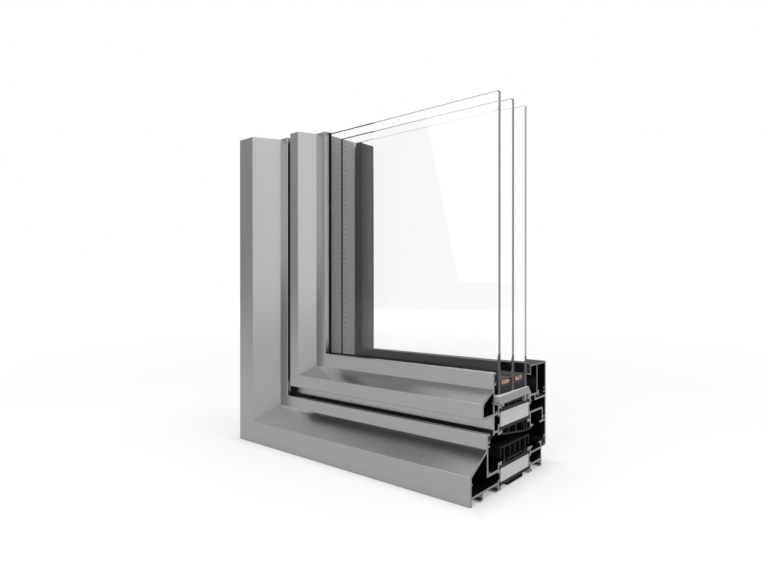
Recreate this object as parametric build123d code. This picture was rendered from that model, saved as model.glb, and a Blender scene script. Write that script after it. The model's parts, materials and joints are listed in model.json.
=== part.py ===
from build123d import *
import os
from math import hypot

# Cut lengths of the corner sample, from its outer corner to the saw cuts
RAIL_LENGTH = 240.0
JAMB_LENGTH = 270.0

# Aluminium extrusions: visible walls, inner webs, rounding of the visible edges
WALL = 1.7
WEB = 1.5
EDGE_RADIUS = 0.5

# Outer frame: depth front to back, and the steps of its outside face
FRAME_DEPTH = 106.0
FRAME_FACE = 19.2
FRAME_NOSE = 21.0
FRAME_RISE = 12.4
FRAME_UPSTAND = 9.7
FRAME_FLOOR = 15.0
FOOT_HEIGHT = 4.8
FOOT_THICKNESS = 1.2
FOOT_TOE = 2.3
MIDDLE_FOOT = 14.6
SOCKET_TOE = 3.2
KEEP_LIP = 2.4
KEEP_BACK_LIP = 4.5
FLOOR_BUMP = 1.3
BUMP_SETBACK = 1.0

# Sash: its face behind the frame's face, its back past the frame's back, and its steps
SASH_SETBACK = 15.0
SASH_BACK_STEP = 8.0
FACE_GAP = 10.5
SASH_FACE = 10.5
SASH_NOSE = 14.4
SASH_RISE = 7.2
SASH_UPSTAND = 11.1
SASH_TOE = 2.3
LEAF_OVERLAP = 4.9

# Hardware groove of the sash, open towards the frame
HARDWARE_GAP = 14.3
HARDWARE_GROOVE = 20.0
HARDWARE_MOUTH = 11.5
GROOVE_BEND = 2.2
LEAF_RIB = 1.7

# Insulating zone between the outer and inner extrusions
BREAK_FRONT = 40.0
INNER_ZONE = 23.0
STRIP_THICKNESS = 2.3
STRIP_SKIN = 0.9
HEAD_HEIGHT = 4.2
HEAD_DEPTH = 2.4
CHAMBER_INSET = 10.0
CHAMBER_HEIGHT = 2.4
CLAW = 1.6
FRAME_BASE_STRIP = 4.1
FRAME_STRIP_SPACING = 11.6
SASH_BASE_STRIP = 22.3
SASH_STRIP_SPACING = 12.5
FOAM_PLAY = 0.2

# Hollow underside of the lower sash strip
KEEL_SKIN = 1.1
KEEL_START = 2.5
KEEL_FRONT_DROP = 3.6
KEEL_PLAY = 0.2
KEEL_FLAT = 6.5
KEEL_TAIL = 5.5

# Ribs of the keel: where top and foot stand, as shares of its sloping run
KEEL_RIBS = ((0.28, 0.22), (0.58, 0.58), (0.90, 1.00))

# Comb gasket in the middle of the rebate
COMB_OVERHANG = 0.9
COMB_HEIGHT = 12.2
COMB_SKIN = 1.3
COMB_LEG_INSET = 5.2
COMB_TOOTH_PITCH = 7.5
COMB_TOOTH = 8.2
COMB_EDGE_TOOTH = 7.2
COMB_GROOVE_LIP = 0.8

# Gasket grooves of the extrusions, and the gaskets seated in them
GROOVE_DEPTH = 2.2
GROOVE_LIP = 1.1
GROOVE_NIB = 0.7
GASKET_PLAY = 0.15
REBATE_GROOVE = 6.3
SPARE_LIP_DROP = 2.0
GLAZING_GROOVE = 8.6
STOP_GROOVE = 8.4
GASKET_CROWN = 0.8
STOP_GASKET_LIP = 1.4
INNER_SEAL_RISE = 1.6

# Triple glazing: three panes, two spacer bars with desiccant, edge seal below
OUTER_SEAL = 2.7
GLASS_THICKNESS = 4.0
GLASS_SETBACK = 3.0
GLASS_EDGE_GAP = 7.1
GLASS_ARRIS = 0.4
SPACER_HEIGHT = 5.4
SPACER_SKIN = 0.9
SPACER_CHAMFER = 1.4
SEAL_DEPTH = 5.0
SIDE_SEAL = 0.4
DESICCANT_SETBACK = 1.2

# Glazing bead, clipped over the shelf of the inner sash extrusion
BEAD_HEIGHT = 26.2
BEAD_PLAY = 0.2
BEAD_NOSE = 5.8
BEAD_NOSE_DROP = 7.9
BEAD_LIP_GAP = 0.8
BEAD_LIP_RISE = 1.3
BEAD_FLANGE = 4.1
BEAD_HOOK = 3.6
BEAD_RIB = 3.1
BEAD_RIB_PITCH = 2.8
SHELF_LENGTH = 12.7
SHELF_GAP = 2.5
CATCH_SETBACK = 6.0
CATCH_BEND = 1.2

# Glazing block that carries the panes on the bottom rail
BLOCK_LENGTH = 100.0
BLOCK_OVERHANG = 3.8
BLOCK_SKEW = 2.8
BLOCK_THICKNESS = 5.4
BLOCK_LEG = 2.0
BLOCK_RIB = 2.0
BLOCK_BEVEL = 5.0
BLOCK_GROOVE = 0.7

# Corner cleats inside the chambers, and the hooks that guide them
CLEAT_LENGTH = 55.0
CLEAT_PLAY = 0.2
CLEAT_HOOK = 1.7

# Heights and depths that follow from the sizes above
frame_bevel_top = FRAME_FACE + FRAME_RISE
frame_top = frame_bevel_top + FRAME_UPSTAND
sash_front = SASH_SETBACK
sash_back = FRAME_DEPTH + SASH_BACK_STEP
sash_wall = SASH_SETBACK + SASH_NOSE
sash_face_base = frame_top + FACE_GAP
sash_face_top = sash_face_base + SASH_FACE
sash_bevel_top = sash_face_top + SASH_RISE
sash_top = sash_bevel_top + SASH_UPSTAND
sash_toe = frame_top - SASH_TOE
break_back = FRAME_DEPTH - INNER_ZONE
break_width = break_back - BREAK_FRONT
break_middle = BREAK_FRONT + break_width / 2
chamber_width = break_width - 2 * CHAMBER_INSET
comb_width = break_width + 2 * COMB_OVERHANG
comb_leg_spread = break_width - 2 * COMB_LEG_INSET
socket_half = HEAD_HEIGHT / 2 + WEB
outer_pocket = BREAK_FRONT - HEAD_DEPTH - WEB
inner_pocket = break_back + HEAD_DEPTH + WEB
frame_top_strip = FRAME_BASE_STRIP + FRAME_STRIP_SPACING
keep_top = frame_top_strip + socket_half
groove_base = keep_top + HARDWARE_GAP
sash_base_strip = keep_top + SASH_BASE_STRIP
sash_top_strip = sash_base_strip + SASH_STRIP_SPACING
groove_back = inner_pocket + HARDWARE_GROOVE
rebate_floor = sash_top_strip + socket_half
leaf_base = keep_top - LEAF_OVERLAP
shelf_end = inner_pocket + SHELF_LENGTH
leaf_top = rebate_floor - WEB - SHELF_GAP
bead_top = leaf_top + BEAD_HEIGHT
glass_edge = rebate_floor + GLASS_EDGE_GAP
block_front = sash_wall + WALL + GASKET_PLAY
block_toe = inner_pocket - WEB
glass_front = sash_wall + WALL + GROOVE_DEPTH + OUTER_SEAL
glass_back = break_back - GLASS_SETBACK
glass_cavity = (glass_back - glass_front - 3 * GLASS_THICKNESS) / 2
bead_front = glass_back + BEAD_NOSE
hook_seat = FRAME_FLOOR - WALL + CLEAT_PLAY
sash_hook_seat = sash_face_top - CLEAT_HOOK - CLEAT_PLAY

mitre = Plane((0, 0, 0), x_dir=(0, 1, 0), z_dir=(1, 0, -1))
jamb_plane = Plane((0, 0, 0), x_dir=(0, 1, 0), z_dir=(0, 0, -1))
to_origin = Pos(-(RAIL_LENGTH + BLOCK_OVERHANG) / 2, -sash_back / 2, 0)


# Sections are drawn in depth from the frame's outside face and height above its outer edge

def bar(depth_a, height_a, depth_b, height_b):
    centre = Pos((depth_a + depth_b) / 2, (height_a + height_b) / 2)
    return centre * Rectangle(abs(depth_b - depth_a), abs(height_b - height_a))


def outline(*points):
    return make_face(Polyline(*points, close=True))


def wall(thickness, *path):
    # Constant wall to the right of the path, with mitred bends
    normals = []
    for (y0, u0), (y1, u1) in zip(path, path[1:]):
        run = hypot(y1 - y0, u1 - u0)
        normals.append(((u1 - u0) / run, (y0 - y1) / run))
    inner = []
    for index, (y, u) in enumerate(path):
        before = normals[max(index - 1, 0)]
        after = normals[min(index, len(normals) - 1)]
        share = thickness / (1 + before[0] * after[0] + before[1] * after[1])
        inner.append((y + share * (before[0] + after[0]), u + share * (before[1] + after[1])))
    return outline(*path, *reversed(inner))


def soften(section, radius, *points):
    corners = [section.vertices().sort_by_distance((y, u, 0))[0] for y, u in points]
    return fillet(corners, radius)


# Sockets for the insulating strips, and the gasket grooves

def strip_head(face, side, height):
    deep = face + side * HEAD_DEPTH
    return outline(
        (face, height - STRIP_THICKNESS / 2),
        (deep, height - HEAD_HEIGHT / 2),
        (deep, height + HEAD_HEIGHT / 2),
        (face, height + STRIP_THICKNESS / 2),
    )


def socket(face, side, height):
    back = face + side * (HEAD_DEPTH + WEB)
    return bar(back, height - socket_half, face, height + socket_half) - strip_head(face, side, height)


def socket_pair(face, side, low, high):
    web = bar(face, low + socket_half, face + side * WEB, high - socket_half)
    return socket(face, side, low) + socket(face, side, high) + web


def claw(face, side, height, towards):
    # Lip of a socket that reaches over the outer face of its strip
    return bar(face, height + towards * STRIP_THICKNESS / 2, face - side * CLAW, height + towards * socket_half)


def groove_lips(face, side, low, high):
    mouth = face + side * GROOVE_DEPTH
    back_of_nib = mouth - side * GROOVE_LIP
    lips = bar(face, low, mouth, low + GROOVE_LIP)
    lips += bar(face, high - GROOVE_LIP, mouth, high)
    lips += bar(back_of_nib, low, mouth, low + GROOVE_LIP + GROOVE_NIB)
    lips += bar(back_of_nib, high - GROOVE_LIP - GROOVE_NIB, mouth, high)
    return lips


def gasket_foot(face, side, low, high):
    mouth = face + side * GROOVE_DEPTH
    shoulder = mouth - side * (GROOVE_LIP + GASKET_PLAY)
    margin = GROOVE_LIP + GASKET_PLAY
    neck = margin + GROOVE_NIB
    foot = bar(face + side * GASKET_PLAY, low + margin, shoulder, high - margin)
    return foot + bar(shoulder, low + neck, mouth + side * GASKET_PLAY, high - neck)


def cleat_hook(face, side, height):
    return outline((face, height), (face + side * CLEAT_HOOK, height), (face, height + CLEAT_HOOK))


# Outer frame

def frame_outer_profile():
    section = wall(
        WALL,
        (0, 0),
        (0, FRAME_FACE),
        (FRAME_NOSE, frame_bevel_top),
        (FRAME_NOSE, frame_top),
    )
    section += wall(
        WALL,
        (outer_pocket + WEB, FRAME_FLOOR - WALL),
        (FRAME_NOSE, FRAME_FLOOR - WALL),
        (FRAME_NOSE, frame_bevel_top),
    )
    section += bar(0, FOOT_HEIGHT, outer_pocket + WEB, FOOT_HEIGHT + WEB)
    section += socket_pair(BREAK_FRONT, -1, FRAME_BASE_STRIP, frame_top_strip)
    section += claw(BREAK_FRONT, -1, frame_top_strip, 1)
    section += bar(0, 0, FOOT_TOE, FOOT_THICKNESS)
    for foot, front_toe, back_toe in ((MIDDLE_FOOT, FOOT_TOE, 0), (outer_pocket, SOCKET_TOE, SOCKET_TOE)):
        section += bar(foot, 0, foot + WEB, FOOT_HEIGHT)
        section += bar(foot - front_toe, 0, foot + WEB + back_toe, FOOT_THICKNESS)
    section += cleat_hook(WALL, 1, hook_seat)
    wall_back = FRAME_NOSE + WALL
    bump = wall_back + BUMP_SETBACK
    section += bar(bump, FRAME_FLOOR, bump + FLOOR_BUMP, FRAME_FLOOR + FLOOR_BUMP)
    groove_low = frame_top - REBATE_GROOVE
    section += groove_lips(wall_back, 1, groove_low, frame_top)
    spare_lip = groove_low - SPARE_LIP_DROP
    section += wall(
        GROOVE_LIP,
        (wall_back, spare_lip + GROOVE_LIP),
        (wall_back + GROOVE_DEPTH, spare_lip),
        (wall_back + GROOVE_DEPTH, spare_lip - GROOVE_NIB),
    )
    return soften(section, EDGE_RADIUS, (0, 0), (0, FRAME_FACE), (FRAME_NOSE, frame_top))


def frame_inner_profile():
    section = socket_pair(break_back, 1, FRAME_BASE_STRIP, frame_top_strip)
    section += claw(break_back, 1, frame_top_strip, 1)
    section += bar(inner_pocket - WEB, FRAME_FLOOR - WEB, FRAME_DEPTH, FRAME_FLOOR)
    section += bar(inner_pocket - WEB, FOOT_HEIGHT, FRAME_DEPTH, FOOT_HEIGHT + WEB)
    section += bar(FRAME_DEPTH - WALL, 0, FRAME_DEPTH, keep_top)
    section += bar(inner_pocket - WEB, keep_top - WEB, inner_pocket + KEEP_LIP, keep_top)
    section += bar(FRAME_DEPTH - KEEP_BACK_LIP, keep_top - WEB, FRAME_DEPTH, keep_top)
    section += bar(inner_pocket - WEB, 0, inner_pocket, FOOT_HEIGHT)
    section += bar(inner_pocket - WEB - FOOT_TOE, 0, inner_pocket + FOOT_TOE, FOOT_THICKNESS)
    section += bar(FRAME_DEPTH - WALL - FOOT_TOE, 0, FRAME_DEPTH, FOOT_THICKNESS)
    return soften(section, EDGE_RADIUS, (FRAME_DEPTH, 0), (FRAME_DEPTH, keep_top))


# Insulating strips with hollow ribs, and the foam between them

def plain_strip(height):
    section = bar(BREAK_FRONT, height - STRIP_THICKNESS / 2, break_back, height + STRIP_THICKNESS / 2)
    return section + strip_head(BREAK_FRONT, -1, height) + strip_head(break_back, 1, height)


def strip_chamber(base, side):
    # Two hollow cells along the middle of a strip
    cells = 2
    left = break_middle - chamber_width / 2
    section = bar(left, base, left + chamber_width, base + side * CHAMBER_HEIGHT)
    cell = (chamber_width - STRIP_SKIN) / cells - STRIP_SKIN
    for index in range(cells):
        start = left + STRIP_SKIN + index * (cell + STRIP_SKIN)
        section -= bar(start, base, start + cell, base + side * (CHAMBER_HEIGHT - STRIP_SKIN))
    return section


def comb_leg_places():
    return [break_middle - comb_leg_spread / 2, break_middle + comb_leg_spread / 2]


def frame_lower_strip():
    underside = FRAME_BASE_STRIP - STRIP_THICKNESS / 2
    return plain_strip(FRAME_BASE_STRIP) + strip_chamber(underside, -1)


def frame_upper_strip():
    top = frame_top_strip + STRIP_THICKNESS / 2
    section = plain_strip(frame_top_strip) + strip_chamber(top, 1)
    reach = COMB_SKIN / 2 + GASKET_PLAY
    for place in comb_leg_places():
        for side in (-1, 1):
            inside = place + side * reach
            section += bar(inside, top, inside + side * COMB_GROOVE_LIP, top + CHAMBER_HEIGHT)
    return section


def sash_upper_strip():
    return plain_strip(sash_top_strip) + strip_chamber(sash_top_strip + STRIP_THICKNESS / 2, 1)


def sash_lower_strip():
    # The hollow keel falls towards the inside and tucks under the inner extrusion
    start = BREAK_FRONT + KEEL_START
    underside = sash_base_strip - STRIP_THICKNESS / 2
    front_keel = underside - KEEL_FRONT_DROP
    back_keel = groove_base - KEEL_PLAY - KEEL_SKIN
    bend = break_back - KEEL_FLAT
    slope = (front_keel - back_keel) / (bend - start)
    section = plain_strip(sash_base_strip)
    section += wall(
        KEEL_SKIN,
        (break_back + KEEL_TAIL, back_keel),
        (bend, back_keel),
        (start, front_keel),
        (start, underside),
    )
    for top_share, foot_share in KEEL_RIBS:
        top = start + top_share * (bend - start)
        foot = start + foot_share * (bend - start)
        foot_height = front_keel - slope * (foot - start) + KEEL_SKIN / 2
        section += outline(
            (top, underside),
            (top + KEEL_SKIN, underside),
            (foot + KEEL_SKIN, foot_height),
            (foot, foot_height),
        )
    last = break_back - KEEL_START
    section += bar(last - KEEL_SKIN, back_keel + KEEL_SKIN / 2, last, underside)
    return section


def foam_block(low_strip, high_strip):
    base = low_strip + STRIP_THICKNESS / 2
    top = high_strip - STRIP_THICKNESS / 2 - FOAM_PLAY
    return bar(BREAK_FRONT + FOAM_PLAY, base, break_back - FOAM_PLAY, top)


def frame_foam():
    return foam_block(FRAME_BASE_STRIP, frame_top_strip)


def sash_foam():
    return foam_block(sash_base_strip, sash_top_strip)


# Gaskets between frame and sash

def comb_gasket():
    foot = frame_top_strip + STRIP_THICKNESS / 2
    top = foot + COMB_HEIGHT
    edge = comb_width / 2 - COMB_SKIN / 2
    section = bar(break_middle - comb_width / 2, top - COMB_SKIN, break_middle + comb_width / 2, top)
    teeth = [(0, COMB_TOOTH)]
    for side in (-1, 1):
        teeth.append((side * COMB_TOOTH_PITCH, COMB_TOOTH))
        teeth.append((side * edge, COMB_EDGE_TOOTH))
        teeth.append((side * comb_leg_spread / 2, COMB_HEIGHT))
    for offset_from_middle, length in teeth:
        place = break_middle + offset_from_middle
        section += bar(place - COMB_SKIN / 2, top - length, place + COMB_SKIN / 2, top)
    return section


def rebate_gasket():
    face = FRAME_NOSE + WALL
    low = frame_top - REBATE_GROOVE
    mouth = face + GROOVE_DEPTH + GASKET_PLAY
    neck = GROOVE_LIP + GROOVE_NIB + GASKET_PLAY
    lip_low = low + neck
    section = gasket_foot(face, 1, low, frame_top)
    section += outline(
        (mouth, lip_low - GASKET_CROWN),
        (sash_wall, sash_toe + GASKET_CROWN),
        (sash_wall, frame_top + STOP_GASKET_LIP),
        (sash_wall - GASKET_CROWN, frame_top + STOP_GASKET_LIP),
        (mouth, frame_top - GROOVE_LIP),
    )
    return section


def stop_gasket():
    face = sash_back - WALL
    high = leaf_base + STOP_GROOVE
    mouth = face - GROOVE_DEPTH - GASKET_PLAY
    crest = high - GROOVE_LIP - GROOVE_NIB
    section = gasket_foot(face, -1, leaf_base, high)
    section += outline(
        (mouth, leaf_base),
        (FRAME_DEPTH, leaf_base),
        (FRAME_DEPTH, keep_top - EDGE_RADIUS),
        (FRAME_DEPTH + STOP_GASKET_LIP, crest),
        (mouth, crest),
    )
    return section


# Sash

def sash_outer_profile():
    section = wall(
        WALL,
        (sash_front, sash_face_base),
        (sash_front, sash_face_top),
        (sash_wall, sash_bevel_top),
        (sash_wall, sash_top),
    )
    section += bar(sash_wall, sash_toe, sash_wall + WALL, sash_bevel_top)
    section += bar(sash_front, sash_face_base, outer_pocket + WEB, sash_face_base + WEB)
    section += bar(sash_wall, sash_base_strip - WEB, outer_pocket + WEB, sash_base_strip)
    bump = (sash_wall + WALL + outer_pocket - FLOOR_BUMP) / 2
    bump_base = sash_face_base + WEB
    section += bar(bump, bump_base, bump + FLOOR_BUMP, bump_base + FLOOR_BUMP)
    section += socket_pair(BREAK_FRONT, -1, sash_base_strip, sash_top_strip)
    section += claw(BREAK_FRONT, -1, sash_top_strip, 1)
    section += claw(BREAK_FRONT, -1, sash_base_strip, -1)
    section += cleat_hook(sash_front + WALL, 1, sash_hook_seat)
    section += cleat_hook(sash_wall, -1, sash_hook_seat)
    section += groove_lips(sash_wall + WALL, 1, sash_top - GLAZING_GROOVE, sash_top)
    return soften(
        section,
        EDGE_RADIUS,
        (sash_front, sash_face_base),
        (sash_front, sash_face_top),
        (sash_wall, sash_top),
    )


def sash_inner_profile():
    lip = (HARDWARE_GROOVE - HARDWARE_MOUTH) / 2
    groove_top = sash_base_strip + socket_half
    section = socket_pair(break_back, 1, sash_base_strip, sash_top_strip)
    section += claw(break_back, 1, sash_base_strip, -1)
    section += wall(
        WEB,
        (inner_pocket + lip, groove_base),
        (inner_pocket - WEB, groove_base),
        (inner_pocket - WEB, groove_top),
        (groove_back + WEB, groove_top),
        (groove_back + WEB, groove_base),
        (groove_back - lip, groove_base),
    )
    section += bar(groove_back, groove_base, sash_back, groove_base + WEB)
    rib = groove_base + WEB + LEAF_RIB
    section += bar(groove_back, rib, sash_back, rib + GROOVE_LIP)
    section += bar(sash_back - WALL, leaf_base, sash_back, leaf_top)
    section += groove_lips(sash_back - WALL, -1, leaf_base, leaf_base + STOP_GROOVE)
    section += bar(inner_pocket - WEB, rebate_floor - WEB, shelf_end, rebate_floor)
    catch = shelf_end - CATCH_SETBACK
    section += bar(catch, leaf_top - WEB, sash_back, leaf_top)
    section += bar(catch, leaf_top - WEB, catch + WEB, rebate_floor - WEB - BEAD_PLAY)
    barb = sash_top_strip - WEB
    section += bar(inner_pocket - WEB, barb, inner_pocket + CLEAT_HOOK, barb + GROOVE_LIP)
    section = soften(section, GROOVE_BEND, (groove_back + WEB, groove_top))
    section = soften(section, CATCH_BEND, (catch, leaf_top - WEB))
    return soften(section, EDGE_RADIUS, (sash_back, leaf_base), (sash_back, leaf_top))


# Glazing bead, glazing gaskets and glazing block

def glazing_bead():
    hook_back = shelf_end + BEAD_PLAY + WEB
    leg = hook_back - BEAD_FLANGE
    shelf_top = rebate_floor + BEAD_PLAY
    shelf_base = rebate_floor - WEB - BEAD_PLAY
    nose_base = bead_top - BEAD_NOSE_DROP
    section = bar(bead_front, bead_top - WEB, sash_back, bead_top)
    section += bar(bead_front, nose_base, bead_front + WEB, bead_top)
    section += wall(
        GROOVE_LIP,
        (glass_back + BEAD_LIP_GAP, nose_base + GROOVE_LIP + BEAD_LIP_RISE),
        (bead_front + WEB, nose_base + GROOVE_LIP),
    )
    section += bar(leg, shelf_top, leg + WEB, bead_top)
    section += wall(
        WEB,
        (leg, shelf_top + WEB),
        (hook_back, shelf_top + WEB),
        (hook_back, shelf_base - GROOVE_LIP),
    )
    section += bar(hook_back - BEAD_HOOK, shelf_base - GROOVE_LIP, hook_back, shelf_base)
    section += bar(sash_back - WALL, leaf_top + BEAD_PLAY, sash_back, bead_top)
    for index in range(2):
        rib = shelf_base + index * BEAD_RIB_PITCH
        section += bar(sash_back - WALL - BEAD_RIB, rib, sash_back - WALL, rib + GROOVE_LIP)
    section = soften(section, CATCH_BEND, (hook_back, shelf_top + WEB))
    return soften(section, EDGE_RADIUS, (sash_back, bead_top), (bead_front, bead_top))


def outer_glazing_gasket():
    face = sash_wall + WALL
    low = sash_top - GLAZING_GROOVE
    mouth = face + GROOVE_DEPTH + GASKET_PLAY
    section = gasket_foot(face, 1, low, sash_top)
    section += outline(
        (mouth, low + GROOVE_LIP),
        (glass_front, low + GROOVE_LIP + GASKET_CROWN),
        (glass_front, sash_top + GASKET_CROWN),
        (mouth, sash_top),
    )
    return section


def inner_glazing_gasket():
    lip_top = bead_top - BEAD_NOSE_DROP + GROOVE_LIP + BEAD_LIP_RISE + GASKET_PLAY
    front = bead_front - GASKET_PLAY
    return outline(
        (glass_back, lip_top),
        (front, lip_top),
        (front, bead_top),
        (glass_back + GASKET_CROWN, bead_top + INNER_SEAL_RISE),
        (glass_back, bead_top + INNER_SEAL_RISE),
    )


def glazing_block():
    base = glass_edge - BLOCK_THICKNESS
    strip_top = sash_top_strip + STRIP_THICKNESS / 2
    heel = block_toe - BLOCK_BEVEL
    section = outline(
        (block_front, base),
        (heel, base),
        (heel, strip_top),
        (break_back, strip_top),
        (break_back, rebate_floor),
        (block_toe, rebate_floor),
        (block_toe, rebate_floor + WEB),
        (heel, glass_edge),
        (block_front, glass_edge),
    )
    section += bar(outer_pocket, rebate_floor, outer_pocket + BLOCK_LEG, base)
    rib = break_middle + chamber_width / 2 + STRIP_SKIN
    section += bar(rib, strip_top, rib + BLOCK_RIB, base)
    groove = base + BLOCK_GROOVE
    return section - bar(block_front, groove, block_front + 2 * BLOCK_GROOVE, groove + BLOCK_GROOVE)


# Spacer bars, desiccant and edge seal in the two glazing cavities

def cavity_fronts():
    return [glass_front + GLASS_THICKNESS + index * (GLASS_THICKNESS + glass_cavity) for index in range(2)]


def spacer_outline(front):
    base = glass_edge + SEAL_DEPTH
    top = base + SPACER_HEIGHT
    left = front + SIDE_SEAL
    right = front + glass_cavity - SIDE_SEAL
    return outline(
        (left + SPACER_CHAMFER, base),
        (right - SPACER_CHAMFER, base),
        (right, base + SPACER_CHAMFER),
        (right, top),
        (left, top),
        (left, base + SPACER_CHAMFER),
    )


def spacer_bore(front):
    return offset(spacer_outline(front), -SPACER_SKIN)


def spacer_bars():
    return [spacer_outline(front) - spacer_bore(front) for front in cavity_fronts()]


def desiccant():
    return [spacer_bore(front) for front in cavity_fronts()]


def edge_seal():
    # Fills the cavity below the spacer bar and runs up its two sides against the panes
    top = glass_edge + SEAL_DEPTH + SPACER_HEIGHT - SIDE_SEAL
    fills = [bar(front, glass_edge, front + glass_cavity, top) for front in cavity_fronts()]
    return [fill - spacer_outline(front) for fill, front in zip(fills, cavity_fronts())]


# Sections become members, cut on the mitre at the corner

def bottom_member(section, length):
    solid = extrude(Plane.YZ * section, length, dir=(1, 0, 0))
    return split(solid, bisect_by=mitre, keep=Keep.TOP)


def left_member(section, length):
    solid = extrude(jamb_plane * section, length, dir=(0, 0, 1))
    return split(solid, bisect_by=mitre, keep=Keep.BOTTOM)


def corner_cleat(front, low, back, high):
    section = bar(front + CLEAT_PLAY, low + CLEAT_PLAY, back - CLEAT_PLAY, high - CLEAT_PLAY)
    reach = low + CLEAT_LENGTH
    return bottom_member(section, reach) + left_member(section, reach)


def frame_cleats():
    low = FOOT_HEIGHT + WEB
    outer = corner_cleat(WALL, low, outer_pocket, FRAME_FLOOR - WALL)
    inner = corner_cleat(inner_pocket, low, FRAME_DEPTH - WALL, FRAME_FLOOR - WEB)
    return [outer, inner]


def sash_cleats():
    groove_top = sash_base_strip + socket_half
    outer = corner_cleat(sash_front + WALL, sash_face_base + WEB, sash_wall, sash_hook_seat)
    inner = corner_cleat(inner_pocket, groove_top, sash_back - WALL, leaf_top - WEB)
    return [outer, inner]


def pane(index):
    front = glass_front + index * (GLASS_THICKNESS + glass_cavity)
    width = RAIL_LENGTH - glass_edge
    height = JAMB_LENGTH - glass_edge
    sheet = Pos(glass_edge, front, glass_edge) * Box(
        width, GLASS_THICKNESS, height, align=(Align.MIN, Align.MIN, Align.MIN)
    )
    return chamfer(sheet.edges(), GLASS_ARRIS)


def write_node(name, solids):
    placed = [to_origin * solid for solid in solids]
    shape = placed[0] if len(placed) == 1 else Compound(children=placed)
    export_step(shape, f"parts/{name}.step")


mitred_sections = {
    "frame_outer_profile": [frame_outer_profile()],
    "frame_inner_profile": [frame_inner_profile()],
    "frame_lower_strip": [frame_lower_strip()],
    "frame_upper_strip": [frame_upper_strip()],
    "frame_foam": [frame_foam()],
    "comb_gasket": [comb_gasket()],
    "rebate_gasket": [rebate_gasket()],
    "stop_gasket": [stop_gasket()],
    "sash_outer_profile": [sash_outer_profile()],
    "sash_inner_profile": [sash_inner_profile()],
    "sash_lower_strip": [sash_lower_strip()],
    "sash_upper_strip": [sash_upper_strip()],
    "sash_foam": [sash_foam()],
    "glazing_bead": [glazing_bead()],
    "outer_glazing_gasket": [outer_glazing_gasket()],
    "inner_glazing_gasket": [inner_glazing_gasket()],
    "spacer_bars": spacer_bars(),
    "desiccant": desiccant(),
    "edge_seal": edge_seal(),
}

os.makedirs("parts", exist_ok=True)
for name, sections in mitred_sections.items():
    # The loose granules have settled back from the saw cuts
    setback = DESICCANT_SETBACK if name == "desiccant" else 0
    write_node(f"{name}_bottom", [bottom_member(section, RAIL_LENGTH - setback) for section in sections])
    write_node(f"{name}_left", [left_member(section, JAMB_LENGTH - setback) for section in sections])

for index, name in enumerate(("outer_pane", "middle_pane", "inner_pane")):
    write_node(name, [pane(index)])

block_end = RAIL_LENGTH + BLOCK_OVERHANG
block = Pos(block_end - BLOCK_LENGTH, 0, 0) * extrude(Plane.YZ * glazing_block(), BLOCK_LENGTH, dir=(1, 0, 0))
slant = Plane((block_end, block_front, 0), z_dir=(block_toe - block_front, BLOCK_SKEW, 0))
write_node("glazing_block", [split(block, bisect_by=slant, keep=Keep.BOTTOM)])
write_node("frame_corner_cleats", frame_cleats())
write_node("sash_corner_cleats", sash_cleats())
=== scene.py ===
import bpy
import bmesh
import json
import math
import random
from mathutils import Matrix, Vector


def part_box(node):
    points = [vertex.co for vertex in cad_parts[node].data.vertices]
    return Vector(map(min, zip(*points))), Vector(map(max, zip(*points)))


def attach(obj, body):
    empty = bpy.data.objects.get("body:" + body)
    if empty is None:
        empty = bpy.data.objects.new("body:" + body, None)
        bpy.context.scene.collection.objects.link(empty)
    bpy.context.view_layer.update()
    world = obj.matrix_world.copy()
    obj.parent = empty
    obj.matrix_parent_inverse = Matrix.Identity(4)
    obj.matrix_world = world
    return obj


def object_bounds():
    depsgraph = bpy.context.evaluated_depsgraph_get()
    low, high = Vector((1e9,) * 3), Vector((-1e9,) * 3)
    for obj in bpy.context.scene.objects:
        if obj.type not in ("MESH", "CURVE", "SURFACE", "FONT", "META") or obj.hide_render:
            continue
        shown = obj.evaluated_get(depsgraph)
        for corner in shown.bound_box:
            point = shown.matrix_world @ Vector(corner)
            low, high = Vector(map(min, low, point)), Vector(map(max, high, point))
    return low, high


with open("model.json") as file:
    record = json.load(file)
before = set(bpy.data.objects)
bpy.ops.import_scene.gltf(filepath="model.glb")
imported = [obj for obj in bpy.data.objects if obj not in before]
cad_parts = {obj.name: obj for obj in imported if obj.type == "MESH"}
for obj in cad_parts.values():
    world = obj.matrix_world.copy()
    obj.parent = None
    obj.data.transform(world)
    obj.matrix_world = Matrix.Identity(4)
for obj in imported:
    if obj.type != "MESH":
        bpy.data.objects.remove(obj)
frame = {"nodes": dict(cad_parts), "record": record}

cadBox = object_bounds()
nodes = frame["nodes"]
mm = 0.001
print("frame loaded,", len(nodes), "nodes")

# where the saw cuts, the outside face and the corner are, read from the frame
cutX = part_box("frame_outer_profile_bottom")[1][0]
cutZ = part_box("frame_outer_profile_left")[1][2]
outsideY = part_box("frame_outer_profile_bottom")[0][1]
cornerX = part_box("frame_outer_profile_left")[0][0]
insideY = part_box("glazing_bead_bottom")[1][1]
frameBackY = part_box("frame_inner_profile_bottom")[1][1]
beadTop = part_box("glazing_bead_bottom")[1][2]


# camera of the photograph
cameraSet = {"lens": 25.2, "place": (0.29085, -0.34695, 0.13769), "turn": 0.69644, "pitch": -0.0022164,
             "near": 0.01}
cameraData = bpy.data.cameras.new("camera")
cameraData.lens = cameraSet["lens"]
cameraData.clip_start = cameraSet["near"]
camera = bpy.data.objects.new("camera", cameraData)
camera.location = cameraSet["place"]
camera.rotation_euler = (math.pi / 2 + cameraSet["pitch"], 0, cameraSet["turn"])
bpy.context.scene.collection.objects.link(camera)
bpy.context.scene.camera = camera
bpy.context.scene.view_settings.view_transform = "Standard"
print("camera set")

noiseSpan = (0.3, 0.7)  # most values of a noise pattern lie in here
cutDepth = 0.02 * mm  # a sawn end is at most this far from its plane


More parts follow.
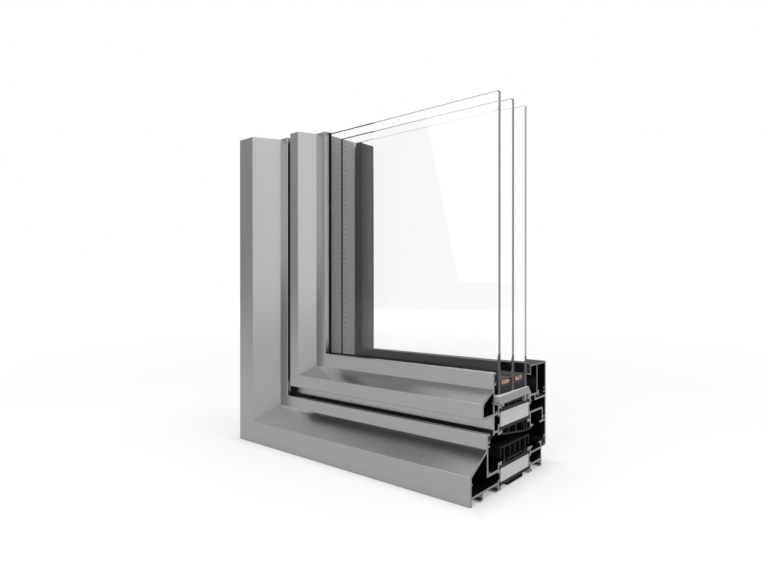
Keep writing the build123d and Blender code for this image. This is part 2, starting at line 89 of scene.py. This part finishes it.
# material helpers: each builds or joins nodes of one material
def newMaterial(name):
    mat = bpy.data.materials.new(name)
    mat.use_nodes = True
    tree = mat.node_tree
    return mat, tree, tree.nodes["Principled BSDF"]


def addNode(tree, kind, settings=None, **inputs):
    # an input goes by its name, or by its number as i0, i1 and so on
    node = tree.nodes.new(kind)
    for key, value in (settings or {}).items():
        setattr(node, key, value)
    for key, value in inputs.items():
        socket = node.inputs[int(key[1:])] if key[0] == "i" and key[1:].isdigit() else node.inputs[key]
        if isinstance(value, bpy.types.NodeSocket):
            tree.links.new(value, socket)
        else:
            socket.default_value = value
    return node


def maths(tree, operation, *values, clamp=False):
    inputs = {f"i{number}": value for number, value in enumerate(values)}
    return addNode(tree, "ShaderNodeMath", {"operation": operation, "use_clamp": clamp}, **inputs).outputs[0]


def largest(tree, *values):
    most = values[0]
    for value in values[1:]:
        most = maths(tree, "MAXIMUM", most, value)
    return most


def mixColour(tree, factor, a, b):
    return addNode(tree, "ShaderNodeMix", {"data_type": "RGBA"}, i0=factor, i6=a, i7=b).outputs[2]


def mixGrey(tree, factor, levels):
    return mixColour(tree, factor, grey(levels[0]), grey(levels[1]))


def mixFloat(tree, factor, a, b):
    return addNode(tree, "ShaderNodeMix", {"data_type": "FLOAT"}, i0=factor, i2=a, i3=b).outputs[0]


def spread(tree, value, span, toSpan=(0.0, 1.0)):
    # maps one span of values onto another, clamped at both ends
    low, high = span
    toLow, toHigh = toSpan
    node = addNode(tree, "ShaderNodeMapRange", None, i0=value, i1=low, i2=high, i3=toLow, i4=toHigh)
    return node.outputs[0]


def objectPlace(tree, kind="Object"):
    return addNode(tree, "ShaderNodeTexCoord").outputs[kind]


def stretched(tree, place, scale):
    return addNode(tree, "ShaderNodeMapping", None, Vector=place, Scale=scale).outputs[0]


def noise(tree, place, scale=1.0, detail=2.0, rough=0.5):
    return addNode(tree, "ShaderNodeTexNoise", None, Vector=place, Scale=scale, Detail=detail,
                   Roughness=rough).outputs["Fac"]


def splitVector(tree, vector):
    return addNode(tree, "ShaderNodeSeparateXYZ", None, Vector=vector).outputs


def vectorLength(tree, vector):
    return addNode(tree, "ShaderNodeVectorMath", {"operation": "LENGTH"}, i0=vector).outputs["Value"]


def splitPlace(tree, place):
    # x, y and z, then the height above the outer edge and the run along the member
    x, y, z = splitVector(tree, place)
    fromCorner = maths(tree, "SUBTRACT", x, cornerX)
    rise = maths(tree, "MINIMUM", fromCorner, z)
    run = maths(tree, "MAXIMUM", fromCorner, z)
    return x, y, z, rise, run


def cutMask(tree, place):
    # one on the two sawn ends, nought elsewhere
    x, y, z, rise, run = splitPlace(tree, place)
    endX = maths(tree, "GREATER_THAN", x, cutX - cutDepth)
    endZ = maths(tree, "GREATER_THAN", z, cutZ - cutDepth)
    return largest(tree, endX, endZ)


def raySeen(tree, *kinds):
    # one for the named kinds of ray, nought for all others
    rays = addNode(tree, "ShaderNodeLightPath")
    return largest(tree, *[rays.outputs[kind] for kind in kinds])


def grey(level):
    return (level, level, level, 1.0)


def setColour(tree, shader, colour):
    tree.links.new(colour, shader.inputs["Base Color"])


def setRoughness(tree, shader, roughness):
    tree.links.new(roughness, shader.inputs["Roughness"])


def setBump(tree, shader, height, strength, depth):
    bump = addNode(tree, "ShaderNodeBump", None, Strength=strength, Distance=depth, Height=height)
    tree.links.new(bump.outputs[0], shader.inputs["Normal"])


# coated aluminium: coat on the outer skin, bare sawn ends, painted shade in the chambers and rebates
coatSet = {
    "outside": 0.34, "chamberShade": 0.2, "rim": 1.0,
    # the bead levels are painted shade: the bead is the outside coat, painted dark with a dimmed rim where
    # the panes shade it
    "bead": 0.05, "beadChamberShade": 0.10, "beadTop": 0.13, "beadRimShade": 0.4,
    "cloudScale": 14.0, "cloudLevels": (0.97, 1.03), "grainScale": 2600.0, "roughness": (0.225, 0.255),
    "sawn": 0.27, "sawnLevels": (0.85, 1.15), "sawScale": (300.0, 2600.0, 300.0), "sawnRoughness": 0.42,
    "bump": 0.01, "bumpDepth": 0.02 * mm, "footHeight": 6.6 * mm, "skinDepth": 0.4 * mm,
}
# the outer skin as pairs of height above the outer edge and depth from the outside face, in mm
skinLine = [(0.0, 0.0), (19.2, 0.0), (31.6, 21.0), (41.4, 21.0), (41.5, 29.4), (51.6, 29.4), (51.7, 15.0),
            (62.3, 15.0), (69.5, 29.4), (90.0, 29.4)]
skinHeight = 90 * mm
skinReach = 30 * mm


def skinMask(tree, place):
    # one on faces that are seen from outside the section, nought inside its chambers and rebates, where
    # painted shade goes
    x, y, z, rise, run = splitPlace(tree, place)
    ramp = addNode(tree, "ShaderNodeValToRGB", None, Fac=spread(tree, rise, (0.0, skinHeight)))
    points = ramp.color_ramp.elements
    for number, (height, depth) in enumerate(skinLine):
        # a new ramp has two points already, the others join at its end
        point = points[number] if number < 2 else points.new(0.999)
        point.position = height * mm / skinHeight
        point.color = grey(depth * mm / skinReach)
    skin = maths(tree, "MULTIPLY_ADD", ramp.outputs[0], skinReach, outsideY + coatSet["skinDepth"])
    front = maths(tree, "LESS_THAN", y, skin)
    back = maths(tree, "GREATER_THAN", y, insideY - coatSet["skinDepth"])
    top = maths(tree, "GREATER_THAN", rise, beadTop - coatSet["skinDepth"])
    feet = maths(tree, "LESS_THAN", rise, coatSet["footHeight"])
    frameBack = maths(tree, "COMPARE", y, frameBackY, coatSet["skinDepth"])
    return largest(tree, front, back, top, feet, frameBack)


def coatedAluminium(name, level, chamberShade, rim, shaded=False):
    mat, tree, shader = newMaterial(name)
    place = objectPlace(tree)
    cut = cutMask(tree, place)
    clouds = noise(tree, place, coatSet["cloudScale"], detail=3.0)
    grain = noise(tree, place, coatSet["grainScale"])
    coat = mixGrey(tree, clouds, [level * share for share in coatSet["cloudLevels"]])
    # painted shade: faces inside the chambers and rebates take the dark chamber level
    coat = mixColour(tree, skinMask(tree, place), grey(chamberShade), coat)
    if shaded:
        # painted shade: the bead is painted dark where the panes shade it, mid grey on its top, and its back
        # keeps the outside coat
        x, y, z, rise, run = splitPlace(tree, place)
        onTop = maths(tree, "COMPARE", z, beadTop, coatSet["skinDepth"])
        coat = mixColour(tree, onTop, coat, grey(coatSet["beadTop"]))
        onBack = maths(tree, "GREATER_THAN", y, insideY - coatSet["skinDepth"])
        coat = mixColour(tree, onBack, coat, grey(coatSet["outside"]))
    sawLines = noise(tree, stretched(tree, place, coatSet["sawScale"]))
    bare = mixGrey(tree, sawLines, [coatSet["sawn"] * share for share in coatSet["sawnLevels"]])
    setColour(tree, shader, mixColour(tree, cut, coat, bare))
    shader.inputs["Metallic"].default_value = 1.0
    shader.inputs["Specular Tint"].default_value = grey(rim)
    coatRough = spread(tree, grain, noiseSpan, coatSet["roughness"])
    setRoughness(tree, shader, mixFloat(tree, cut, coatRough, coatSet["sawnRoughness"]))
    setBump(tree, shader, mixFloat(tree, cut, grain, sawLines), coatSet["bump"], coatSet["bumpDepth"])
    return mat


# glass-fibre filled polyamide of the insulating strips: sawn ends paler with cut fibres, the other faces
# darker, partly the plastic's own tone and partly painted shade for the hollow cells
polyamideSet = {"sawn": (0.022, 0.045), "skin": (0.006, 0.012), "fibreScale": (900.0, 2600.0, 2600.0),
                "fibreSpan": (0.35, 0.75), "roughness": (0.55, 0.75), "specular": 0.08, "bump": 0.2,
                "bumpDepth": 0.03 * mm}


def fibrePolyamide():
    mat, tree, shader = newMaterial("fibrePolyamide")
    place = objectPlace(tree)
    fibres = noise(tree, stretched(tree, place, polyamideSet["fibreScale"]), detail=3.0, rough=0.6)
    sawn = mixGrey(tree, spread(tree, fibres, polyamideSet["fibreSpan"]), polyamideSet["sawn"])
    # partly painted shade: the unsawn faces are kept very dark so the hollow cells read as shaded
    skin = mixGrey(tree, fibres, polyamideSet["skin"])
    setColour(tree, shader, mixColour(tree, cutMask(tree, place), skin, sawn))
    setRoughness(tree, shader, spread(tree, fibres, noiseSpan, polyamideSet["roughness"]))
    shader.inputs["Specular IOR Level"].default_value = polyamideSet["specular"]
    setBump(tree, shader, fibres, polyamideSet["bump"], polyamideSet["bumpDepth"])
    return mat


# matt black rubber of the gaskets, sawn ends paler, the other faces very dark, partly their own tone and
# partly painted shade for the hollows
rubberSet = {"levels": (0.006, 0.012), "sawn": 0.016, "bloomScale": 60.0, "skinScale": 1800.0,
             "roughness": (0.5, 0.7), "specular": 0.05, "bump": 0.15, "bumpDepth": 0.02 * mm}


def blackRubber():
    mat, tree, shader = newMaterial("blackRubber")
    place = objectPlace(tree)
    bloom = noise(tree, place, rubberSet["bloomScale"], detail=4.0)
    skin = noise(tree, place, rubberSet["skinScale"])
    # partly painted shade: the unsawn faces are kept very dark so the gasket hollows read as shaded
    colour = mixGrey(tree, bloom, rubberSet["levels"])
    setColour(tree, shader, mixColour(tree, cutMask(tree, place), colour, grey(rubberSet["sawn"])))
    setRoughness(tree, shader, spread(tree, skin, noiseSpan, rubberSet["roughness"]))
    shader.inputs["Specular IOR Level"].default_value = rubberSet["specular"]
    setBump(tree, shader, skin, rubberSet["bump"], rubberSet["bumpDepth"])
    return mat


# closed-cell foam between the strips
foamSet = {"levels": (0.55, 0.60), "cell": 0.42, "cellScale": 1500.0, "cellSpan": (0.0, 0.25),
           "cellShare": (0.25, 0.0), "cloudScale": 420.0, "roughness": 0.9, "bump": 0.35,
           "bumpDepth": 0.1 * mm}


def cellFoam():
    mat, tree, shader = newMaterial("cellFoam")
    place = objectPlace(tree)
    voronoi = addNode(tree, "ShaderNodeTexVoronoi", None, Vector=place, Scale=foamSet["cellScale"])
    cells = voronoi.outputs["Distance"]
    clouds = noise(tree, place, foamSet["cloudScale"], detail=3.0)
    colour = mixGrey(tree, spread(tree, clouds, noiseSpan), foamSet["levels"])
    inCell = spread(tree, cells, foamSet["cellSpan"], foamSet["cellShare"])
    setColour(tree, shader, mixColour(tree, inCell, colour, grey(foamSet["cell"])))
    shader.inputs["Roughness"].default_value = foamSet["roughness"]
    setBump(tree, shader, cells, foamSet["bump"], foamSet["bumpDepth"])
    return mat


# moulded plastic of the glazing block, with painted light: its top is painted paler, as lit from above
blockSet = {"body": (0.25, 0.30), "top": (0.50, 0.60), "paintedLightSpan": (0.4, 0.8),
            "flowScale": (40.0, 200.0, 400.0), "grainScale": 1500.0, "roughness": (0.42, 0.58),
            "bump": 0.2, "bumpDepth": 0.03 * mm}


def mouldedPlastic():
    mat, tree, shader = newMaterial("mouldedPlastic")
    place = objectPlace(tree)
    grain = noise(tree, place, blockSet["grainScale"])
    flow = noise(tree, stretched(tree, place, blockSet["flowScale"]), detail=3.0)
    body = mixGrey(tree, flow, blockSet["body"])
    top = mixGrey(tree, flow, blockSet["top"])
    upward = splitVector(tree, addNode(tree, "ShaderNodeNewGeometry").outputs["Normal"])[2]
    # painted light: faces turned upwards are painted paler, for the light from above
    setColour(tree, shader, mixColour(tree, spread(tree, upward, blockSet["paintedLightSpan"]), body, top))
    setRoughness(tree, shader, spread(tree, grain, noiseSpan, blockSet["roughness"]))
    setBump(tree, shader, grain, blockSet["bump"], blockSet["bumpDepth"])
    return mat


# float glass: clear faces, finely ground edges, painted in shade below a sloping line where the dark gaskets
# lie behind them
glassSet = {
    "index": 1.52, "mirror": 0.45, "tint": 0.98, "shade": 0.86,
    "smearScale": 20.0, "smearSpan": (0.35, 0.7), "smearRoughness": (0.0, 0.012),
    "edge": 0.33, "lowEdgeShade": 0.06, "edgeShadeHeight": 90 * mm, "edgeShadeSlope": -0.14,
    "edgeFacing": 0.5, "edgeClear": 0.3, "edgeRoughness": 0.4,
}


def floatGlass(name, straightOut=False):
    mat, tree, shader = newMaterial(name)
    place = objectPlace(tree)
    x, y, z, rise, run = splitPlace(tree, place)
    smear = noise(tree, place, glassSet["smearScale"], detail=3.0)
    shape = addNode(tree, "ShaderNodeNewGeometry")
    facing = splitVector(tree, shape.outputs["True Normal"])[1]
    edge = maths(tree, "LESS_THAN", maths(tree, "ABSOLUTE", facing), glassSet["edgeFacing"])
    # painted shade: below this sloping line the ground edges are painted dark, for the dark gaskets seen in
    # them
    edgeShadeLine = maths(tree, "MULTIPLY_ADD", y, glassSet["edgeShadeSlope"], glassSet["edgeShadeHeight"])
    groundEdgeAndShade = mixGrey(tree, maths(tree, "LESS_THAN", rise, edgeShadeLine), (glassSet["edge"], glassSet["lowEdgeShade"]))
    setColour(tree, shader, mixColour(tree, edge, grey(glassSet["tint"]), groundEdgeAndShade))
    shader.inputs["IOR"].default_value = glassSet["index"]
    shader.inputs["Specular Tint"].default_value = grey(glassSet["mirror"])
    tree.links.new(mixFloat(tree, edge, 1.0, glassSet["edgeClear"]), shader.inputs["Transmission Weight"])
    grind = mixFloat(tree, edge, 0.0, glassSet["edgeRoughness"])
    smears = spread(tree, smear, glassSet["smearSpan"], glassSet["smearRoughness"])
    setRoughness(tree, shader, maths(tree, "ADD", grind, smears))
    # shadow and diffuse rays pass straight through
    clear = addNode(tree, "ShaderNodeBsdfTransparent", None, Color=grey(glassSet["shade"]))
    through = raySeen(tree, "Is Shadow Ray", "Is Diffuse Ray")
    pane = addNode(tree, "ShaderNodeMixShader", None, i0=through, i1=shader.outputs[0], i2=clear.outputs[0])
    if straightOut:
        # light leaves the last face unbent, which is how the photo shows the bead behind it
        out = addNode(tree, "ShaderNodeBsdfTransparent")
        last = maths(tree, "SUBTRACT", shape.outputs["Backfacing"], edge, clamp=True)
        pane = addNode(tree, "ShaderNodeMixShader", None, i0=last, i1=pane.outputs[0], i2=out.outputs[0])
    tree.links.new(pane.outputs[0], tree.nodes["Material Output"].inputs["Surface"])
    return mat


# dull plastic of the spacer bars, with rows of vent holes along them; the holes and the bottom bars are
# painted in shade
spacerSet = {"left": 0.325, "bottom": 0.05, "levels": (0.92, 1.08), "sawn": 0.06, "grainScale": 1200.0,
             "holeShade": 0.03, "pitch": 4.4 * mm, "radius": 0.55 * mm, "rows": (53.0 * mm, 63.1 * mm),
             "roughness": (0.5, 0.6), "specular": 0.08, "bump": 0.1, "bumpDepth": 0.02 * mm}


def ventHoles(tree, place):
    # one inside each vent hole, nought elsewhere
    x, y, z, rise, run = splitPlace(tree, place)
    along = maths(tree, "PINGPONG", run, spacerSet["pitch"] / 2)
    holes = []
    for row in spacerSet["rows"]:
        across = maths(tree, "SUBTRACT", y, outsideY + row)
        fromHole = addNode(tree, "ShaderNodeCombineXYZ", None, i0=along, i1=across).outputs[0]
        holes.append(maths(tree, "LESS_THAN", vectorLength(tree, fromHole), spacerSet["radius"]))
    return largest(tree, *holes)


def spacerPlastic(name, level):
    mat, tree, shader = newMaterial(name)
    place = objectPlace(tree)
    grain = noise(tree, place, spacerSet["grainScale"])
    body = mixGrey(tree, grain, [level * share for share in spacerSet["levels"]])
    body = mixColour(tree, cutMask(tree, place), body, grey(spacerSet["sawn"]))
    # painted shade: each vent hole is a dark disc, for the shade inside it
    setColour(tree, shader, mixColour(tree, ventHoles(tree, place), body, grey(spacerSet["holeShade"])))
    setRoughness(tree, shader, spread(tree, grain, noiseSpan, spacerSet["roughness"]))
    shader.inputs["Specular IOR Level"].default_value = spacerSet["specular"]
    setBump(tree, shader, grain, spacerSet["bump"], spacerSet["bumpDepth"])
    return mat


# fired clay granules of the desiccant, and the filling behind them, painted dark as shade
claySet = {"dark": (0.60, 0.35, 0.22), "pale": (0.95, 0.60, 0.40), "open": 1.0, "behind": 0.1,
           "patchScale": 620.0, "roughness": (0.75, 0.9), "bump": 0.3, "bumpDepth": 0.05 * mm}


def clayGranules(name, level):
    mat, tree, shader = newMaterial(name)
    patches = noise(tree, objectPlace(tree), claySet["patchScale"], detail=3.0)
    dark, pale = [(*(level * part for part in claySet[tone]), 1.0) for tone in ("dark", "pale")]
    setColour(tree, shader, mixColour(tree, spread(tree, patches, noiseSpan), dark, pale))
    setRoughness(tree, shader, spread(tree, patches, noiseSpan, claySet["roughness"]))
    setBump(tree, shader, patches, claySet["bump"], claySet["bumpDepth"])
    return mat


# two-part sealant round the glazing edge
sealSet = {"levels": (0.018, 0.034), "dragScale": (60.0, 300.0, 900.0), "roughness": (0.45, 0.65),
           "specular": 0.08, "bump": 0.3, "bumpDepth": 0.1 * mm}


def edgeSealant():
    mat, tree, shader = newMaterial("edgeSealant")
    drag = noise(tree, stretched(tree, objectPlace(tree), sealSet["dragScale"]), detail=3.0)
    setColour(tree, shader, mixGrey(tree, drag, sealSet["levels"]))
    setRoughness(tree, shader, spread(tree, drag, noiseSpan, sealSet["roughness"]))
    shader.inputs["Specular IOR Level"].default_value = sealSet["specular"]
    setBump(tree, shader, drag, sealSet["bump"], sealSet["bumpDepth"])
    return mat


# extruded aluminium of the cleats, as it leaves the saw
millSet = {"levels": (0.62, 0.72), "drawnScale": (30.0, 1500.0, 1500.0), "roughness": (0.3, 0.45),
           "bump": 0.1, "bumpDepth": 0.02 * mm}


def millAluminium():
    mat, tree, shader = newMaterial("millAluminium")
    drawn = noise(tree, stretched(tree, objectPlace(tree), millSet["drawnScale"]), detail=3.0)
    setColour(tree, shader, mixGrey(tree, drawn, millSet["levels"]))
    shader.inputs["Metallic"].default_value = 1.0
    setRoughness(tree, shader, spread(tree, drawn, noiseSpan, millSet["roughness"]))
    setBump(tree, shader, drawn, millSet["bump"], millSet["bumpDepth"])
    return mat


# one finish for each slot of the record, and own finishes for a few nodes
finishes = {
    "profile_aluminium": coatedAluminium("outsideCoat", coatSet["outside"], coatSet["chamberShade"],
                                         coatSet["rim"]),
    "mill_aluminium": millAluminium(),
    "polyamide": fibrePolyamide(),
    "gasket_rubber": blackRubber(),
    "foam": cellFoam(),
    "block_plastic": mouldedPlastic(),
    "glass": floatGlass("floatGlass"),
    "spacer": spacerPlastic("spacerPlastic", spacerSet["left"]),
    "desiccant": clayGranules("clayGranules", claySet["open"]),
    "edge_seal": edgeSealant(),
}
# painted shade on the glazing beads, for the shade behind the panes
paintedShadeBeadCoat = coatedAluminium("paintedShadeBeadCoat", coatSet["bead"], coatSet["beadChamberShade"], coatSet["beadRimShade"],
                           shaded=True)
# painted shade: the filling behind the granules is the same clay painted dark, for the shade between them
clayShade = clayGranules("clayShade", claySet["behind"])
ownFinishes = {
    "glazing_bead_bottom": paintedShadeBeadCoat,
    "glazing_bead_left": paintedShadeBeadCoat,
    "inner_pane": floatGlass("innerGlass", straightOut=True),
    # painted shade: the bottom bars are the same plastic painted much darker, for the shade between the
    # panes
    "spacer_bars_bottom": spacerPlastic("spacerShade", spacerSet["bottom"]),
    "desiccant_bottom": clayShade,
    "desiccant_left": clayShade,
}

slots = {part["node"]: part["material_slot"] for part in frame["record"]["subparts"]}
for name, node in nodes.items():
    finish = ownFinishes.get(name, finishes[slots[name]])
    node.data.materials.clear()
    node.data.materials.append(finish)
print("finishes set on", len(nodes), "nodes")


# desiccant granules that lie open in the sawn ends of the spacer bars
granuleSet = {"size": 1.5 * mm, "spreadSize": 0.3, "detail": 1, "columns": 7, "rows": 3, "sink": 0.1 * mm,
              "scatter": (-0.25, 0.35), "stagger": 0.25, "jitter": 0.15, "slack": 0.01 * mm, "seed": 7}


def nodeCorners(name):
    node = nodes[name]
    return [node.matrix_world @ vertex.co for vertex in node.data.vertices]


def desiccantGranules(name, node, along, across, up):
    # along: axis that leaves the sawn end; across and up: the two axes of the bore
    rng = random.Random(granuleSet["seed"] + along)
    jitter = granuleSet["jitter"]
    slack = granuleSet["slack"]
    bm = bmesh.new()
    low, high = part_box(node)
    middle = (low[across] + high[across]) / 2
    # each bar fills one side of the middle pane
    for start, stop in ((low[across], middle), (middle, high[across])):
        near = [spot[across] for spot in nodeCorners(node) if start - slack <= spot[across] <= stop + slack]
        boreLow, boreHigh = min(near), max(near)
        stepAcross = (boreHigh - boreLow) / granuleSet["columns"]
        stepUp = (high[up] - low[up]) / granuleSet["rows"]
        for row in range(granuleSet["rows"]):
            stagger = granuleSet["stagger"] if row % 2 else -granuleSet["stagger"]
            for column in range(granuleSet["columns"]):
                size = granuleSet["size"] * (1 + granuleSet["spreadSize"] * rng.uniform(-1, 1))
                spot = Vector()
                spot[along] = high[along] - granuleSet["sink"] + rng.uniform(*granuleSet["scatter"]) * mm
                shift = 0.5 + stagger + rng.uniform(-jitter, jitter)
                spot[across] = boreLow + (column + shift) * stepAcross
                spot[up] = low[up] + (row + 0.5 + rng.uniform(-jitter, jitter)) * stepUp
                # kept inside the bore
                spot[across] = min(max(spot[across], boreLow + size / 2), boreHigh - size / 2)
                spot[up] = min(max(spot[up], low[up] + size / 2), high[up] - size / 2)
                grain = bmesh.ops.create_icosphere(bm, subdivisions=granuleSet["detail"], radius=size / 2)
                bmesh.ops.translate(bm, verts=grain["verts"], vec=spot)
    for face in bm.faces:
        face.smooth = True
    mesh = bpy.data.meshes.new(name)
    bm.to_mesh(mesh)
    bm.free()
    mesh.materials.append(finishes["desiccant"])
    granules = bpy.data.objects.new(name, mesh)
    bpy.context.scene.collection.objects.link(granules)
    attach(granules, "root")
    return granules


desiccantGranules("desiccant_granules_bottom", "desiccant_bottom", 0, 1, 2)
desiccantGranules("desiccant_granules_left", "desiccant_left", 2, 1, 0)
print("granules made")


# studio: white floor under a plain dome
studioSet = {
    "floorSize": 8.0, "floorShade": 0.33, "floorRoughness": 0.9,
    "white": (0.53, 0.80), "whiteSpan": (0.5, 2.5), "gloss": (0.53, 0.4), "glossSpan": (0.2, 0.9),
    "shadeSpan": (-0.045, 0.012), "dome": (0.57, 1.1), "domeSpan": (0.25, 0.9),
}


def studioWorld():
    world = bpy.data.worlds.new("studio")
    bpy.context.scene.world = world
    world.use_nodes = True
    tree = world.node_tree
    back = tree.nodes["Background"]
    back.inputs["Color"].default_value = grey(1.0)
    # the dome brightens from the horizon upwards; camera and glass see plain white
    up = splitVector(tree, objectPlace(tree, "Generated"))[2]
    dome = spread(tree, up, studioSet["domeSpan"], studioSet["dome"])
    seen = raySeen(tree, "Is Camera Ray", "Is Transmission Ray")
    tree.links.new(mixFloat(tree, seen, dome, 1.0), back.inputs["Strength"])


def studioFloor():
    bm = bmesh.new()
    bmesh.ops.create_grid(bm, x_segments=1, y_segments=1, size=studioSet["floorSize"] / 2)
    mesh = bpy.data.meshes.new("floor")
    bm.to_mesh(mesh)
    bm.free()
    floor = bpy.data.objects.new("floor", mesh)
    bpy.context.scene.collection.objects.link(floor)
    mat, tree, shader = newMaterial("whiteFloor")
    shader.inputs["Base Color"].default_value = grey(studioSet["floorShade"])
    shader.inputs["Roughness"].default_value = studioSet["floorRoughness"]
    shader.inputs["Specular IOR Level"].default_value = 0.0
    # camera and glass see it grow white far off, metal sees it fall off
    place = objectPlace(tree)
    away = vectorLength(tree, place)
    white = spread(tree, away, studioSet["whiteSpan"], studioSet["white"])
    white = maths(tree, "MULTIPLY", white, raySeen(tree, "Is Camera Ray", "Is Transmission Ray"))
    gloss = spread(tree, away, studioSet["glossSpan"], studioSet["gloss"])
    gloss = maths(tree, "MULTIPLY", gloss, raySeen(tree, "Is Glossy Ray"))
    # painted shadow: no glow under the sample itself, so its feet stand in shade
    x, y, z = splitVector(tree, place)
    outX = maths(tree, "SUBTRACT", maths(tree, "ABSOLUTE", x), cadBox[1][0])
    outY = maths(tree, "SUBTRACT", maths(tree, "ABSOLUTE", y), cadBox[1][1])
    clear = spread(tree, largest(tree, outX, outY), studioSet["shadeSpan"])
    shader.inputs["Emission Color"].default_value = grey(1.0)
    glow = maths(tree, "MULTIPLY", largest(tree, white, gloss), clear)
    tree.links.new(glow, shader.inputs["Emission Strength"])
    mesh.materials.append(mat)
    return floor


# a large lamp on the right for the bevels, the others for the front, the mitres and the top
lampSets = [
    {"name": "rightLamp", "place": (1.68, -0.42, 0.66), "aim": (0.0, -0.05, 0.3),
     "size": (1.3, 1.4), "power": 5.6},
    {"name": "frontLamp", "place": (-0.1, -1.7, 0.9), "aim": (0.0, 0.0, 0.2),
     "size": (2.0, 1.6), "power": 17.0},
    {"name": "cornerLamp", "place": (0.87, -1.2, 1.34), "aim": (0.0, 0.0, 0.15),
     "size": (1.8, 0.8), "power": 4.2},
    {"name": "glintLamp", "place": (0.3, -1.6, 1.42), "aim": (0.0, 0.0, 0.1),
     "size": (0.4, 0.4), "power": 4.2},
    {"name": "topLamp", "place": (0.25, 0.1, 1.5), "aim": (0.05, 0.0, 0.1),
     "size": (0.8, 0.8), "power": 7.0},
]


def softLamp(lampSet):
    data = bpy.data.lights.new(lampSet["name"], "AREA")
    data.shape = "RECTANGLE"
    data.size, data.size_y = lampSet["size"]
    data.energy = lampSet["power"]
    lamp = bpy.data.objects.new(lampSet["name"], data)
    lamp.location = lampSet["place"]
    aim = Vector(lampSet["aim"]) - Vector(lampSet["place"])
    lamp.rotation_euler = aim.to_track_quat("-Z", "Y").to_euler()
    bpy.context.scene.collection.objects.link(lamp)


studioWorld()
studioFloor()
for lampSet in lampSets:
    softLamp(lampSet)
print("studio lit")
